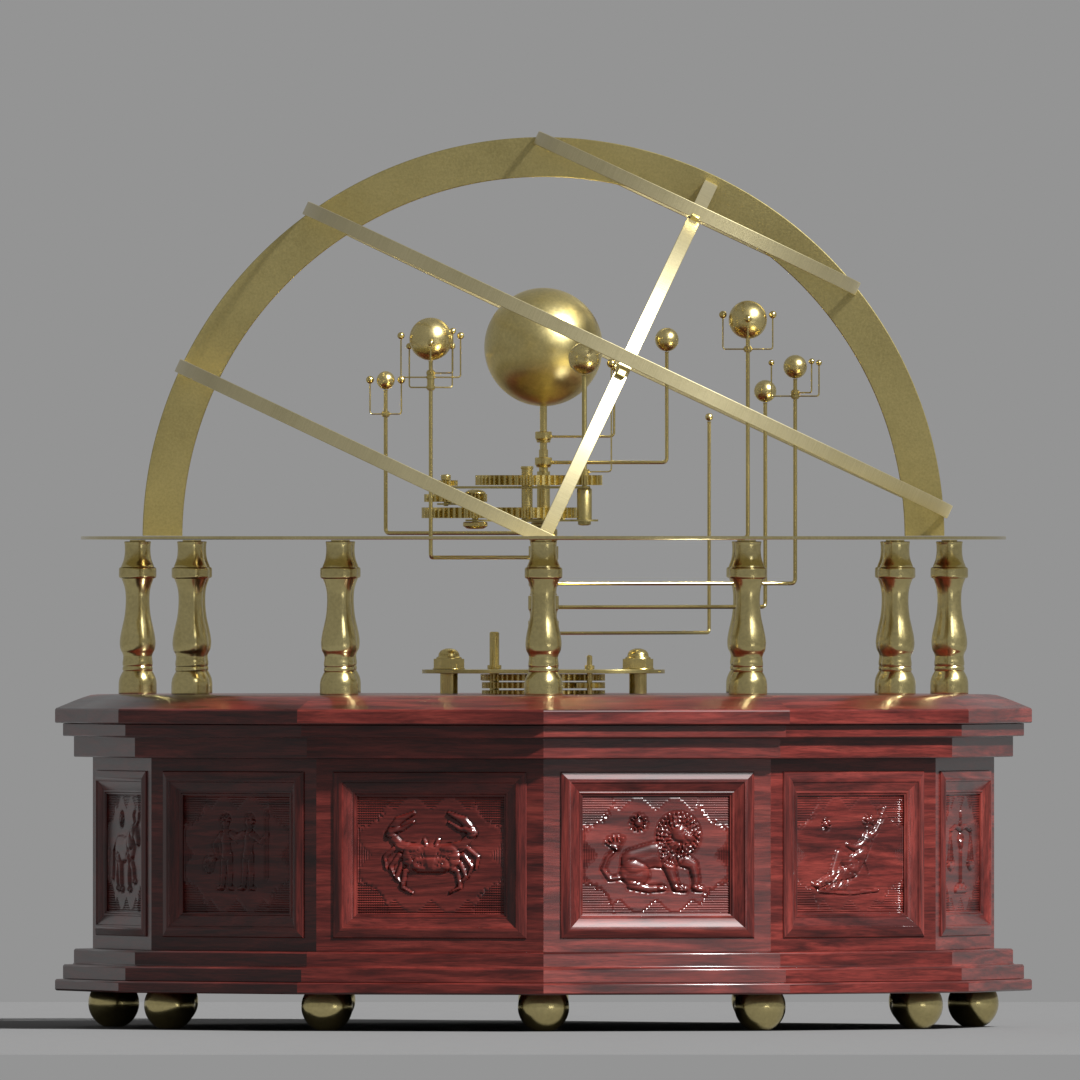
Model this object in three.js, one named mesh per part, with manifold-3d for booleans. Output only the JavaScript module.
// A table-top grand orrery: twelve-sided case, columns, horizon ring, armillary dome, and the geared planets.
// Millimetres, +Z up. The origin is on the vertical axis of the Sun, on the surface that the feet stand on.
// +Y points to the back. Angles are measured from +X, counter-clockwise from above.
import * as THREE from 'three';
import { mergeVertices } from 'three/addons/utils/BufferGeometryUtils.js';
import Module from 'manifold-3d';

const wasm = await Module();
wasm.setup();

const GAP = 0.3; // air left between two pieces that touch
const SIDES = 12; // faces of the case, with a corner at the front
const STEP_ANGLE = (2 * Math.PI) / SIDES;

// Case: corner radius and height of each layer.
const FOOT = { circle: 432, radius: 25.6, centreZ: 23.6, padRadius: 9.9, top: 36.2 };
const BASE_BOARD = { radius: 491, bottom: 36.2, top: 47.9 };
const PLINTH = [[483, 48.2], [483, 62.1], [472, 62.1], [472, 78.4]];
const WALL = { radius: 453, thickness: 13, bottom: 78.7, top: 270.8 };
const CORNICE = [[472, 271.1], [472, 292], [483, 292], [483, 304.9]];
const TOP_BOARD = [[491, 305.2], [491, 318.6], [470, 328.2], [455, 333.2], [448, 334]];
const MOULDING_HOLE = 420; // corner radius of the opening inside plinth and cornice
const FRAME = { width: 200, height: 166, centreZ: 175 };
// Section of a frame: inset from its outer edge, and height off the wall.
const FRAME_PROFILE = [[0, -1], [0, 1.4], [8, 4], [11, 3.4], [24, -3.2], [24, -6], [13, -6]];
const PANEL = { inset: 14, depth: 5 }; // the sunk field behind each frame

// Columns: radius at each height above the top board.
const COLUMN_CIRCLE = 408;
const COLUMN_BASE = 334;
const COLUMN_PROFILE = [
  [19, GAP], [19.2, 12], [14.6, 23], [14.6, 38], [18, 51], [12.2, 90], [18.8, 118],
  [18.8, 127], [13.2, 141], [13.4, 153.5], [8, 153.6], [8, 155.1],
];

// Horizon ring and armillary dome.
const RING = { outer: 465, inner: 345, bottom: 489.4, top: 492.8 };
const SPHERE_Z = 491;
const ARCH = { outer: 403, inner: 363, depth: 4 };
const POLAR_TILT = THREE.MathUtils.degToRad(25.3); // lean of the polar axis from the vertical, towards +X
const HOOP_WIDTH = 14;
const HOOP_THICKNESS = 3;
const EQUATOR_RADIUS = 404;
const TROPIC = { radius: 355.5, offset: 198 };
const ARCTIC = { radius: 176, offset: 361 };
const COLURE_RADIUS = 392;

// Base drive.
const BRIDGE = { halfLength: 122, halfWidth: 72, bottom: 355, top: 358.8 };
const PILLAR = { x: 95, radius: 8.7, nutRadius: 15, nutTop: 371, domeRadius: 10.8, domeTop: 380 };
const DRIVE = { teeth: 30, module: 4, pinionTeeth: 6 };
const DRIVE_WHEELS = [
  ['drive_wheel_lower', 334.3, 338],
  ['drive_wheel_middle', 340, 346],
  ['drive_wheel_upper', 347.6, 354.2],
];
const ARBOR_A = { x: -49.4, radius: 4.9, top: 396.7, wheel: 2, side: 1 };
const ARBOR_B = { x: 46.3, radius: 2.7, top: 373.4, wheel: 1, side: -1 };

// Centre post, from the top board to the Sun: radius of each step and the height where it ends.
const POST_STEPS = [[9, 501], [6.6, 558], [4.6, 580], [3.6, 623.2]];
const SUN = { z: 683, radius: 59.5 };

// Planets: arm height, orbit radius, angle at rest, ball height and radius.
const ROD = 1.8;
const PLANETS = {
  mercury: { arm: 593, orbit: 71, angle: 0, z: 663, ball: 4, rod: 1.2 },
  venus: { arm: 567, orbit: 124, angle: 0, z: 690.5, ball: 11.9, rod: ROD },
  mars: { arm: 496, orbit: 204.5, angle: 141.04, z: 650, ball: 9.2, rod: ROD },
  jupiter: { arm: 491, orbit: 227.5, angle: -25.7, z: 710, ball: 19.3, rod: ROD },
  saturn: { arm: 471.5, orbit: 263.5, angle: -115.34, z: 690, ball: 21.5, rod: ROD },
  uranus: { arm: 445.3, orbit: 276, angle: 23.24, z: 663.6, ball: 11.9, rod: ROD },
  neptune: { arm: 421.5, orbit: 314, angle: 44.5, z: 639.4, ball: 11.25, rod: ROD },
  pluto: { arm: 395.3, orbit: 333, angle: 59.8, z: 613.3, ball: 4, rod: ROD },
};
// Hubs: bore, outer radius, bottom and top; each turns on its own step of the centre post.
const HUBS = {
  mercury: { bore: 3.6, outer: 8.4, bottom: 587, top: 598 },
  venus: { bore: 4.6, outer: 8.7, bottom: 562, top: 572 },
  mars: { bore: 9, outer: 14, bottom: 493.6, top: 500 },
  jupiter: { bore: 9, outer: 14.5, bottom: 483.3, top: 493.3 },
  saturn: { bore: 9, outer: 15, bottom: 459.3, top: 483 },
  uranus: { bore: 9, outer: 15, bottom: 433.3, top: 459 },
  neptune: { bore: 9, outer: 15.5, bottom: 408.3, top: 433 },
  pluto: { bore: 9, outer: 15.5, bottom: 382.3, top: 408 },
};

// Satellites: for each bar its height, and for each ball its reach along X and Y, its height and its radius.
const WIRE = 0.75;
const SATELLITES = {
  mars: [{ bar: 616, balls: [[15.8, 0, 650.5, 4], [-15.8, 0, 650.5, 4]] }],
  jupiter: [{ bar: 680.5, balls: [[25, 0, 715, 3.85], [-25, 0, 715, 3.85], [0, -25, 711, 3.85]] }],
  saturn: [
    { bar: 651.8, balls: [[29.8, 0, 693.4, 3.6], [-29.8, 0, 693.4, 3.6]] },
    { bar: 641.7, balls: [[21.5, 15, 683, 3.2], [-21.5, 15, 683, 3.2]] },
    { bar: 656, balls: [[22, -16, 698, 3.2], [0, -29, 686, 3.2]] },
  ],
  uranus: [
    { bar: 634, balls: [[24, 0, 667.6, 3], [-24, 0, 667.6, 3]] },
    { bar: 637.4, balls: [[16.5, -10, 669, 3]] },
  ],
};

// Earth carriage: tooth counts of its train, and the height of each layer of wheels.
const MODULE = 4;
const TEETH = { axis: 16, left: 26, lower: 17, upper: 25, moon: 8, pinion: 5, setting: 10, knob: 5 };
// A tooth's height and depth in modules, and its half width as a share of the pitch.
const TOOTH = { tip: 0.45, root: 0.55, share: 0.4 };
const LAYER = { low: [511, 521.7], pinion: [527.3, 535], bar: [540.6, 543], high: [544, 554] };
const CARRIAGE_PLATE = [507.6, 509.6];
const SMALL_PLATE = [524.2, 526];
const EARTH = { orbit: 155.1, x: 41, z: 671, ball: 16, rod: 2.5, drum: 7.5 };
const LEFT_X = -68.5;
const MOON = { orbit: 27, z: 666, ball: 4.5, bar: 557.4 };

const polished = () => new THREE.MeshStandardMaterial({ color: 0x9c8a4c, roughness: 0.28, metalness: 1 });
const satin = () => new THREE.MeshStandardMaterial({ color: 0x8f8148, roughness: 0.42, metalness: 1 });
const mahogany = () => new THREE.MeshStandardMaterial({ color: 0x6b1a18, roughness: 0.22, metalness: 0 });

const orrery = new THREE.Group();

function addPiece(name, shape, material) {
  const geometry = shape instanceof wasm.Manifold ? geometryOf(shape) : shape;
  const mesh = new THREE.Mesh(geometry, material);
  mesh.name = name;
  orrery.add(mesh);
  return mesh;
}

// ---- Solids ----

function solidOf(geometry) {
  const bare = geometry.clone();
  bare.deleteAttribute('normal');
  bare.deleteAttribute('uv');
  const merged = mergeVertices(bare, 1e-4);
  const corners = merged.index.array;
  const triangles = [];
  for (let i = 0; i < corners.length; i += 3) {
    const [a, b, c] = corners.slice(i, i + 3);
    if (a !== b && b !== c && c !== a) triangles.push(a, b, c);
  }
  const vertProperties = new Float32Array(merged.attributes.position.array);
  const triVerts = new Uint32Array(triangles);
  return new wasm.Manifold(new wasm.Mesh({ numProp: 3, vertProperties, triVerts }));
}

function geometryOf(manifold) {
  const mesh = manifold.getMesh();
  const geometry = new THREE.BufferGeometry();
  geometry.setAttribute('position', new THREE.BufferAttribute(mesh.vertProperties, 3));
  geometry.setIndex(new THREE.BufferAttribute(mesh.triVerts, 1));
  return geometry;
}

const join = (geometries) => geometries.map(solidOf).reduce((whole, piece) => whole.add(piece));

// A turned piece: the profile is [radius, height] from bottom to top, closed along the axis.
function turned(profile, segments = 12) {
  const points = [[0, profile[0][1]], ...profile, [0, profile.at(-1)[1]]];
  return lathe(points, segments);
}

// A turned ring: the profile closes on itself.
const turnedRing = (profile, segments = 24) => lathe([...profile, profile[0]], segments);

function lathe(points, segments) {
  const geometry = new THREE.LatheGeometry(points.map(([r, z]) => new THREE.Vector2(r, z)), segments);
  return geometry.rotateX(Math.PI / 2);
}

function disc(radius, bottom, top, segments = 12) {
  return turned([[radius, bottom], [radius, top]], segments);
}

// A ring with an open bore. The bore's flats stay clear of a shaft of the given radius.
function collar(shaft, outer, bottom, top, segments = 16) {
  const bore = (shaft + GAP) / Math.cos(Math.PI / segments);
  return turnedRing([[bore, bottom], [outer, bottom], [outer, top], [bore, top]], segments);
}

function ball(radius, segments = 10) {
  const rings = Math.round(segments / 2);
  const profile = [];
  for (let i = 1; i < rings; i += 1) {
    const angle = (i / rings) * Math.PI;
    profile.push([radius * Math.sin(angle), -radius * Math.cos(angle)]);
  }
  return lathe([[0, -radius], ...profile, [0, radius]], segments);
}

function extruded(outline, bottom, top, holes = []) {
  const shape = new THREE.Shape(outline);
  shape.holes = holes.map((hole) => new THREE.Path(hole));
  const depth = top - bottom;
  const geometry = new THREE.ExtrudeGeometry(shape, { depth, bevelEnabled: false, curveSegments: 1 });
  return geometry.translate(0, 0, bottom);
}

function polygon(radius, corners, centre = [0, 0], turn = 0) {
  const points = [];
  for (let i = 0; i < corners; i += 1) {
    const angle = turn + (i / corners) * 2 * Math.PI;
    const [x, y] = [centre[0] + radius * Math.cos(angle), centre[1] + radius * Math.sin(angle)];
    points.push(new THREE.Vector2(x, y));
  }
  return points;
}

// A path through set stations, one step for each, so that straight stretches cost a single step.
class StationPath extends THREE.Curve {
  constructor(stations) {
    super();
    this.stations = stations;
  }

  getPoint(t) {
    const place = t * (this.stations.length - 1);
    const from = Math.min(Math.floor(place), this.stations.length - 2);
    return this.stations[from].clone().lerp(this.stations[from + 1], place - from);
  }

  getPointAt(u) {
    return this.getPoint(u);
  }

  getTangentAt(u) {
    const at = Math.round(u * (this.stations.length - 1));
    const last = this.stations.length - 1;
    const next = this.stations[Math.min(at + 1, last)];
    const ahead = next.clone().sub(this.stations[Math.min(at, last - 1)]).normalize();
    const behind = this.stations[Math.max(at, 1)].clone().sub(this.stations[Math.max(at - 1, 0)]).normalize();
    return ahead.add(behind).normalize();
  }
}

// A wire through the given corners, each rounded by the bend radius.
function wire(corners, radius, bend, sides = 6) {
  const points = corners.map((corner) => new THREE.Vector3(...corner));
  const stations = [points[0]];
  for (let i = 1; i < points.length - 1; i += 1) {
    const into = points[i].clone().sub(points[i - 1]).normalize();
    const out = points[i + 1].clone().sub(points[i]).normalize();
    const start = points[i].clone().addScaledVector(into, -bend);
    const end = points[i].clone().addScaledVector(out, bend);
    stations.push(...new THREE.QuadraticBezierCurve3(start, points[i], end).getPoints(2));
  }
  stations.push(points.at(-1));
  const section = new THREE.Shape(polygon(radius, sides));
  const steps = stations.length - 1;
  const extrudePath = new StationPath(stations);
  return new THREE.ExtrudeGeometry(section, { steps, extrudePath, bevelEnabled: false });
}

// A toothed outline. turn sets the angle of one tooth's middle.
function gearOutline(teeth, module, turn) {
  const pitch = (teeth * module) / 2;
  const root = pitch - module * TOOTH.root;
  const tip = pitch + module * TOOTH.tip;
  const space = (2 * Math.PI) / teeth;
  const outline = [];
  for (let i = 0; i < teeth; i += 1) {
    const middle = turn + i * space;
    for (const [share, radius] of [[-TOOTH.share, root], [0, tip], [TOOTH.share, root]]) {
      const angle = middle + share * space;
      outline.push(new THREE.Vector2(radius * Math.cos(angle), radius * Math.sin(angle)));
    }
  }
  return outline;
}

function gear(teeth, [bottom, top], turn, bore = 0, module = MODULE) {
  const holes = bore > 0 ? [polygon((bore + GAP) / Math.cos(Math.PI / 12), 12)] : [];
  return extruded(gearOutline(teeth, module, turn), bottom, top, holes);
}

// The turn that puts a gap where a neighbour's tooth points, for two gears in mesh.
function meshTurn(teeth, towards, neighbourTeeth, neighbourTurn) {
  const facing = towards + Math.PI;
  const neighbourSpace = (2 * Math.PI) / neighbourTeeth;
  const phase = (((towards - neighbourTurn) / neighbourSpace) % 1);
  const space = (2 * Math.PI) / teeth;
  return facing + space * (0.5 + phase);
}

// A rectangular frame with mitred corners, standing in the XZ plane with its face towards -Y.
function mitredFrame(width, height, profile) {
  const positions = [];
  for (const [inset, proud] of profile) {
    const x = width / 2 - inset;
    const z = height / 2 - inset;
    for (const [sx, sz] of [[-1, -1], [1, -1], [1, 1], [-1, 1]]) positions.push(sx * x, -proud, sz * z);
  }
  const triangles = [];
  for (let ring = 0; ring < profile.length; ring += 1) {
    const next = (ring + 1) % profile.length;
    for (let i = 0; i < 4; i += 1) {
      const j = (i + 1) % 4;
      const [a, b, c, d] = [ring * 4 + i, ring * 4 + j, next * 4 + j, next * 4 + i];
      triangles.push(a, b, c, a, c, d);
    }
  }
  const geometry = new THREE.BufferGeometry();
  geometry.setAttribute('position', new THREE.Float32BufferAttribute(positions, 3));
  geometry.setIndex(triangles);
  return geometry;
}

const at = (radius, degrees) => {
  const angle = THREE.MathUtils.degToRad(degrees);
  return [radius * Math.cos(angle), radius * Math.sin(angle)];
};
const bearing = ([ax, ay], [bx, by]) => Math.atan2(by - ay, bx - ax);

function moved(shape, [x, y]) {
  return shape instanceof wasm.Manifold ? shape.translate([x, y, 0]) : shape.translate(x, y, 0);
}

// ---- Case ----

// A layer of the case: its profile is [corner radius, height], closed back down the opening.
function caseLayer(profile, hole) {
  const closed = [...profile, [hole, profile.at(-1)[1]], [hole, profile[0][1]]];
  return turnedRing(closed, SIDES);
}

function baseWithFeet() {
  const board = extruded(polygon(BASE_BOARD.radius, SIDES), BASE_BOARD.bottom, BASE_BOARD.top);
  const { radius, centreZ, padRadius, top } = FOOT;
  const profile = [[padRadius, 0]];
  for (const z of [9, centreZ]) profile.push([Math.sqrt(radius ** 2 - (z - centreZ) ** 2), z]);
  profile.push([Math.sqrt(radius ** 2 - (top + 1 - centreZ) ** 2), top + 1]);
  const feet = [];
  for (let i = 0; i < SIDES; i += 1) feet.push(moved(turned(profile, 10), at(FOOT.circle, i * 30)));
  return join([board, ...feet]);
}

// On each side of the case, a field is sunk into the wall and its edge is covered by the frame.
function wallWithFrames() {
  const hole = WALL.radius - WALL.thickness;
  const flat = WALL.radius * Math.cos(STEP_ANGLE / 2);
  const { inset, depth } = PANEL;
  let wall = solidOf(caseLayer([[WALL.radius, WALL.bottom], [WALL.radius, WALL.top]], hole));
  for (let i = 0; i < SIDES; i += 1) {
    const turn = (i + 0.5) * STEP_ANGLE;
    const toSide = (geometry) => solidOf(geometry.translate(0, -flat, FRAME.centreZ).rotateZ(turn));
    const field = new THREE.BoxGeometry(FRAME.width - 2 * inset, 2 * depth, FRAME.height - 2 * inset);
    const frame = mitredFrame(FRAME.width, FRAME.height, FRAME_PROFILE);
    wall = wall.subtract(toSide(field)).add(toSide(frame));
  }
  return wall;
}

function topBoard() {
  return turned(TOP_BOARD, SIDES);
}

addPiece('base_board_with_feet', baseWithFeet(), mahogany());
addPiece('plinth_moulding', caseLayer(PLINTH, MOULDING_HOLE), mahogany());
addPiece('case_wall', wallWithFrames(), mahogany());
addPiece('cornice_moulding', caseLayer(CORNICE, MOULDING_HOLE), mahogany());
addPiece('top_board', topBoard(), mahogany());

for (let i = 0; i < SIDES; i += 1) {
  const column = addPiece(`column_${String(i + 1).padStart(2, '0')}`, turned(COLUMN_PROFILE, 10), polished());
  const [x, y] = at(COLUMN_CIRCLE, i * 30);
  column.position.set(x, y, COLUMN_BASE);
}

// ---- Horizon ring and dome ----

const ringOf = ({ outer, inner, bottom, top }, segments) =>
  turnedRing([[inner, bottom], [outer, bottom], [outer, top], [inner, top]], segments);

// A hoop around the polar axis. grow makes it bigger all round, to cut room for it in its neighbours.
function hoop(radius, offset, grow = 0, segments = 40) {
  const half = HOOP_WIDTH / 2 + grow;
  const band = ringOf({
    inner: radius - grow,
    outer: radius + HOOP_THICKNESS + grow,
    bottom: offset - half,
    top: offset + half,
  }, segments);
  return band.rotateY(POLAR_TILT).translate(0, 0, SPHERE_Z);
}

// The colure lies in the plane of the Y axis and the polar axis.
function colureBand(grow = 0) {
  const half = HOOP_WIDTH / 2 + grow;
  const inner = COLURE_RADIUS - grow;
  const outer = COLURE_RADIUS + HOOP_THICKNESS + grow;
  const band = ringOf({ inner, outer, bottom: -half, top: half }, 40);
  return band.rotateY(Math.PI / 2 + POLAR_TILT).translate(0, 0, SPHERE_Z);
}

// What is left of a dome piece above the ring's top face.
function aboveRing(solid) {
  const reach = 2 * RING.outer;
  const block = new THREE.BoxGeometry(reach, reach, reach).translate(0, 0, RING.top + GAP + reach / 2);
  return solid.intersect(solidOf(block));
}

function archSolid() {
  const { outer, inner, depth } = ARCH;
  const band = ringOf({ outer, inner, bottom: -depth / 2, top: depth / 2 }, 60);
  band.rotateX(Math.PI / 2).translate(0, 0, SPHERE_Z);
  const whole = aboveRing(solidOf(band));
  return whole.subtract(solidOf(hoop(ARCTIC.radius, ARCTIC.offset, GAP))).subtract(solidOf(colureBand(GAP)));
}

addPiece('horizon_ring', ringOf(RING, 48), satin());
addPiece('meridian_arch', archSolid(), satin());
addPiece('equator_hoop', aboveRing(solidOf(hoop(EQUATOR_RADIUS, 0))), satin());
addPiece('tropic_hoop', hoop(TROPIC.radius, TROPIC.offset), satin());
addPiece('polar_hoop', hoop(ARCTIC.radius, ARCTIC.offset), satin());
addPiece('colure_hoop', aboveRing(solidOf(colureBand())), satin());

// ---- Base drive ----

function bridgePlate() {
  const outline = polygon(BRIDGE.halfWidth, 24).map(({ x, y }) => {
    const reach = (BRIDGE.halfLength - BRIDGE.halfWidth) * Math.sign(Math.round(x));
    return new THREE.Vector2(x + reach, y);
  });
  const holes = [polygon(POST_STEPS[0][0] + 1, 12)];
  for (const arbor of [ARBOR_A, ARBOR_B]) holes.push(polygon(arbor.radius + 0.6, 10, arborPlace(arbor)));
  for (const side of [-1, 1]) holes.push(polygon(4.6, 8, [side * PILLAR.x, 0]));
  return extruded(outline, BRIDGE.bottom, BRIDGE.top, holes);
}

const driveDistance = (DRIVE.module * (DRIVE.teeth + DRIVE.pinionTeeth)) / 2;

function arborPlace({ x, side }) {
  return [x, side * Math.sqrt(driveDistance ** 2 - x ** 2)];
}

function pillar(side) {
  const { radius } = PILLAR;
  return moved(turned([
    [radius, COLUMN_BASE + GAP], [radius, BRIDGE.bottom - GAP],
    [4, BRIDGE.bottom - GAP], [4, BRIDGE.top + GAP],
    [PILLAR.nutRadius, BRIDGE.top + GAP], [PILLAR.nutRadius, PILLAR.nutTop],
    [PILLAR.domeRadius, PILLAR.nutTop],
    [PILLAR.domeRadius * 0.7, PILLAR.domeTop - 3], [3, PILLAR.domeTop],
  ], 12), [side * PILLAR.x, 0]);
}

function driveArbor(arbor) {
  const [bottom, top] = DRIVE_WHEELS[arbor.wheel].slice(1);
  const place = arborPlace(arbor);
  const turn = meshTurn(DRIVE.pinionTeeth, bearing([0, 0], place), DRIVE.teeth, 0);
  const pinion = gear(DRIVE.pinionTeeth, [bottom + 0.3, top - 0.3], turn, 0, DRIVE.module);
  return join([moved(disc(arbor.radius, COLUMN_BASE + GAP, arbor.top), place), moved(pinion, place)]);
}

addPiece('bridge_plate', bridgePlate(), satin());
addPiece('bridge_pillar_left', pillar(-1), polished());
addPiece('bridge_pillar_right', pillar(1), polished());
for (const [name, bottom, top] of DRIVE_WHEELS) {
  addPiece(name, gear(DRIVE.teeth, [bottom, top], 0, POST_STEPS[0][0], DRIVE.module), polished());
}
addPiece('drive_arbor_left', driveArbor(ARBOR_A), polished());
addPiece('drive_arbor_right', driveArbor(ARBOR_B), polished());

// ---- Centre post and Sun ----

function centrePost() {
  const profile = [[POST_STEPS[0][0], COLUMN_BASE + GAP]];
  POST_STEPS.forEach(([radius, top], i) => {
    profile.push([radius, top]);
    if (i < POST_STEPS.length - 1) profile.push([POST_STEPS[i + 1][0], top]);
  });
  return turned(profile, 12);
}

const postRadius = (z) => POST_STEPS.find(([, top]) => z < top)[0];

addPiece('centre_post', centrePost(), polished());
addPiece('sun', ball(SUN.radius, 20).translate(0, 0, SUN.z), polished());

// The fixed wheel stands on the post, one gap clear of it.
const axisWheelTurn = 0;
addPiece('fixed_axis_wheel', gear(TEETH.axis, LAYER.low, axisWheelTurn, postRadius(LAYER.low[0])), polished());

// ---- Planets ----

// A flared hub on the centre post, with the bent arm that rises from it to just under the ball.
const HUB_SIDES = 12;

function planetArm({ arm, orbit, angle, z, ball: ballRadius, rod }, { bore, outer, bottom, top }) {
  const inner = (bore + GAP) / Math.cos(Math.PI / HUB_SIDES);
  const waist = outer - 1.2;
  const flareStart = Math.max(bottom + 0.1, arm - 4.5);
  const flare = [
    [inner, bottom], [waist, bottom], [waist, flareStart], [outer, arm - 2.2], [outer, top], [inner, top],
  ];
  const [x, y] = at(orbit, angle);
  const [startX, startY] = at(outer - 1, angle);
  const rodPiece = wire([[startX, startY, arm], [x, y, arm], [x, y, z - ballRadius - GAP]], rod, 5);
  return join([turnedRing(flare, HUB_SIDES), rodPiece]);
}

// A sleeve that turns on a planet's post and carries bent wires with a small ball at each end.
function satelliteCarrier({ orbit, angle, rod }, bars) {
  const pieces = [];
  const low = Math.min(...bars.map(({ bar }) => bar)) - 3;
  const high = Math.max(...bars.map(({ bar }) => bar)) + 3;
  pieces.push(collar(rod, 3.6, low, high, 8));
  for (const { bar, balls } of bars) {
    for (const [x, y, z, radius] of balls) {
      const reach = Math.hypot(x, y);
      const start = [(x / reach) * 3, (y / reach) * 3, bar];
      pieces.push(wire([start, [x, y, bar], [x, y, z - radius * 0.8]], WIRE, 3, 4));
      pieces.push(ball(radius, 6).translate(x, y, z));
    }
  }
  return moved(join(pieces), at(orbit, angle));
}

for (const [name, planet] of Object.entries(PLANETS)) {
  addPiece(`${name}_arm`, planetArm(planet, HUBS[name]), polished());
  const sphere = ball(planet.ball, planet.ball > 15 ? 14 : 8);
  addPiece(`${name}_ball`, sphere.translate(...at(planet.orbit, planet.angle), planet.z), polished());
}
for (const [name, bars] of Object.entries(SATELLITES)) {
  addPiece(`${name}_satellites`, satelliteCarrier(PLANETS[name], bars), polished());
}

// ---- Earth carriage ----

const pitch = (teeth) => (teeth * MODULE) / 2;

// The point at the given distances from two others, on the right going from the first to the second.
function pointAt(first, firstDistance, second, secondDistance) {
  const span = Math.hypot(second[0] - first[0], second[1] - first[1]);
  const along = (firstDistance ** 2 - secondDistance ** 2 + span ** 2) / (2 * span);
  const across = Math.sqrt(firstDistance ** 2 - along ** 2);
  const [ux, uy] = [(second[0] - first[0]) / span, (second[1] - first[1]) / span];
  return [first[0] + along * ux + across * uy, first[1] + along * uy - across * ux];
}

const AXIS = [0, 0];
const earthPlace = [EARTH.x, -Math.sqrt(EARTH.orbit ** 2 - EARTH.x ** 2)];
const leftDistance = pitch(TEETH.axis + TEETH.left);
const leftPlace = [LEFT_X, -Math.sqrt(leftDistance ** 2 - LEFT_X ** 2)];
const upperReach = [pitch(TEETH.left + TEETH.lower), pitch(TEETH.upper + TEETH.moon)];
const upperPlace = pointAt(leftPlace, upperReach[0], earthPlace, upperReach[1]);
const settingX = -29.5; // from the left wheel's axis
const settingY = -Math.sqrt(pitch(TEETH.pinion + TEETH.setting) ** 2 - settingX ** 2);
const settingPlace = [leftPlace[0] + settingX, leftPlace[1] + settingY];

const leftTurn = meshTurn(TEETH.left, bearing(AXIS, leftPlace), TEETH.axis, axisWheelTurn);
const lowerTurn = meshTurn(TEETH.lower, bearing(leftPlace, upperPlace), TEETH.left, leftTurn);
const moonTurn = meshTurn(TEETH.moon, bearing(upperPlace, earthPlace), TEETH.upper, 0);
const settingTurn = meshTurn(TEETH.setting, bearing(leftPlace, settingPlace), TEETH.pinion, 0);

// A flat bar with round ends between two points.
function link(from, to, halfWidth, [bottom, top]) {
  const span = Math.hypot(to[0] - from[0], to[1] - from[1]);
  const outline = [];
  for (const [centre, start] of [[span, -90], [0, 90]]) {
    for (let i = 0; i <= 6; i += 1) {
      const [x, y] = at(halfWidth, start + i * 30);
      outline.push(new THREE.Vector2(centre + x, y));
    }
  }
  const bar = extruded(outline, bottom, top).rotateZ(bearing(from, to));
  return moved(bar, from);
}

function shaftHole(place, radius, [bottom, top]) {
  return solidOf(moved(disc(radius, bottom - 1, top + 1, 16), place));
}

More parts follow.
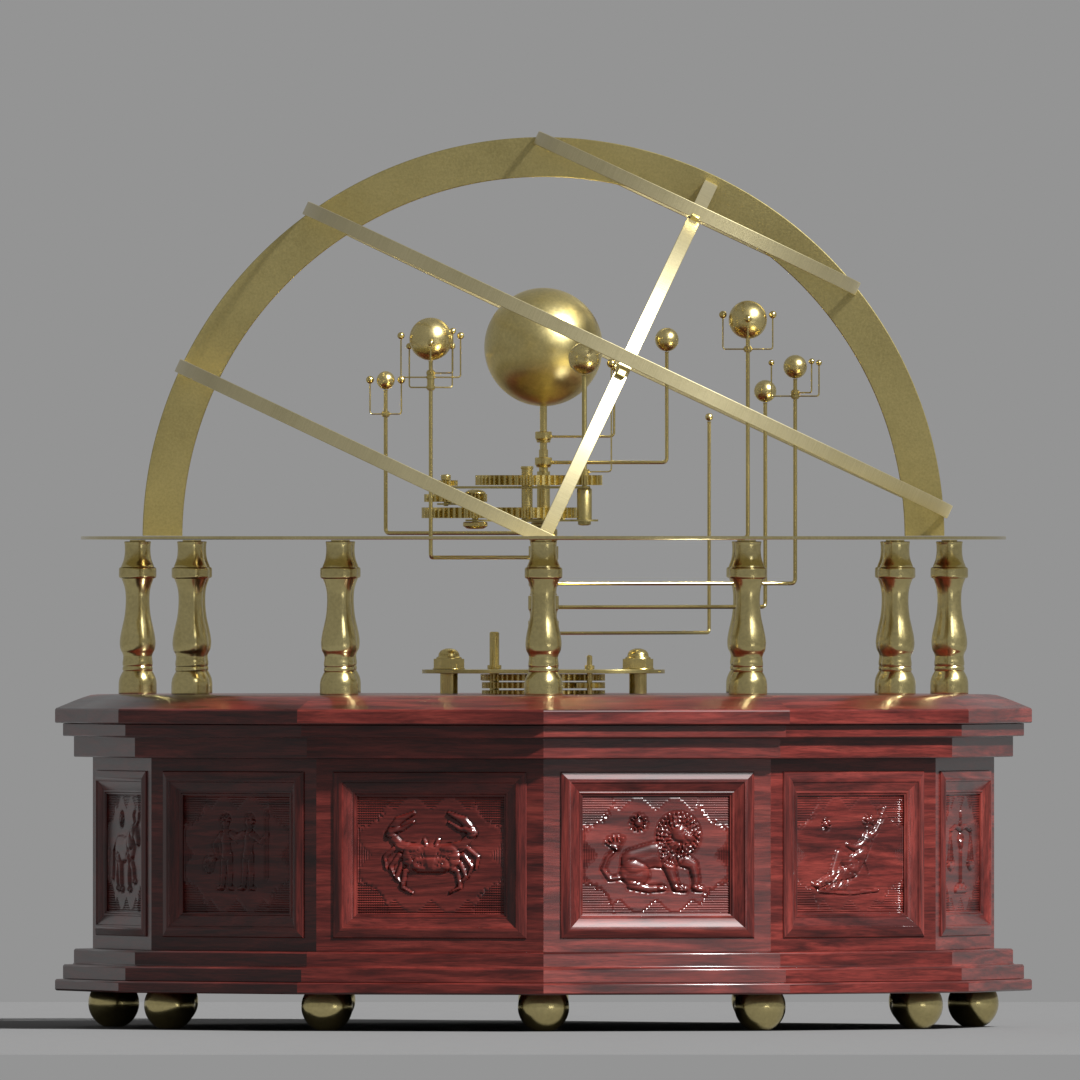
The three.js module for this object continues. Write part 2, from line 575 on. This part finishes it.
function earthCarriage() {
  const hub = collar(postRadius(505), 13, 501.6, CARRIAGE_PLATE[1]);
  const smallPost = [settingPlace[0] + 3, settingPlace[1] + 28];
  const frame = join([
    link(AXIS, earthPlace, 14, CARRIAGE_PLATE),
    link(AXIS, leftPlace, 10, CARRIAGE_PLATE),
    link(upperPlace, earthPlace, 10, CARRIAGE_PLATE),
    link(settingPlace, leftPlace, 9, SMALL_PLATE),
    link(smallPost, settingPlace, 6, SMALL_PLATE),
    link(smallPost, settingPlace, 6, LAYER.bar),
    link(settingPlace, upperPlace, 6, LAYER.bar),
    link(upperPlace, earthPlace, 6, LAYER.bar),
    moved(disc(10, ...LAYER.bar, 16), upperPlace),
    moved(disc(EARTH.drum, CARRIAGE_PLATE[1] - 1, LAYER.bar[1]), earthPlace),
    moved(disc(EARTH.rod, LAYER.bar[1] - 1, EARTH.z - EARTH.ball - GAP, 10), earthPlace),
    moved(disc(3, SMALL_PLATE[0] + 0.5, LAYER.bar[1] - 0.5, 8), smallPost),
    hub,
  ]);
  return frame
    .subtract(shaftHole(AXIS, (postRadius(505) + GAP) / Math.cos(Math.PI / 16), [500, 512]))
    .subtract(shaftHole(leftPlace, 3.8, CARRIAGE_PLATE))
    .subtract(shaftHole(leftPlace, 3.8, SMALL_PLATE))
    .subtract(shaftHole(settingPlace, 2.9, SMALL_PLATE))
    .subtract(shaftHole(settingPlace, 2.9, LAYER.bar))
    .subtract(shaftHole(upperPlace, 6.4, CARRIAGE_PLATE))
    .subtract(shaftHole(upperPlace, 6.4, LAYER.bar));
}

function leftWheel() {
  const dome = [[10.5, 535], [9.5, 537], [6, 539.2], [2, 540]];
  return moved(join([
    gear(TEETH.left, LAYER.low, leftTurn),
    gear(TEETH.pinion, LAYER.pinion, 0),
    turned([[3.2, 500.5], [3.2, 536]], 10),
    turned([[6, 500], [12.4, 503], [12.4, 507], [6, 507.2]], 12),
    turned(dome, 12),
  ]), leftPlace);
}

function upperWheel() {
  return moved(join([
    gear(TEETH.upper, LAYER.high, 0),
    gear(TEETH.lower, LAYER.low, lowerTurn),
    disc(5.6, 507, 563),
  ]), upperPlace);
}

function settingArbor() {
  return moved(join([
    gear(TEETH.setting, LAYER.pinion, settingTurn),
    gear(TEETH.knob, [543.4, 549], 0),
    disc(2.3, 523, 549.5, 8),
    turned([[5, 549], [5, 554], [3, 555]], 10),
  ]), settingPlace);
}

function moonCarrier() {
  const { orbit, z, ball: radius, bar } = MOON;
  const wireStart = 4;
  return moved(join([
    gear(TEETH.moon, LAYER.high, moonTurn, EARTH.rod),
    collar(EARTH.rod, 5, LAYER.high[1] - 1, bar + 2.5, 12),
    wire([[wireStart, 0, bar], [orbit, 0, bar], [orbit, 0, z - radius * 0.8]], WIRE, 4, 5),
    ball(radius, 6).translate(orbit, 0, z),
  ]), earthPlace);
}

// The Earth turns on the end of the carriage's rod.
function earthGlobe() {
  return moved(ball(EARTH.ball, 12).translate(0, 0, EARTH.z), earthPlace);
}

addPiece('earth_carriage', earthCarriage(), satin());
addPiece('left_wheel', leftWheel(), polished());
addPiece('upper_wheel', upperWheel(), polished());
addPiece('setting_arbor', settingArbor(), polished());
addPiece('moon_carrier', moonCarrier(), polished());
addPiece('earth_globe', earthGlobe(), polished());

export default orrery;
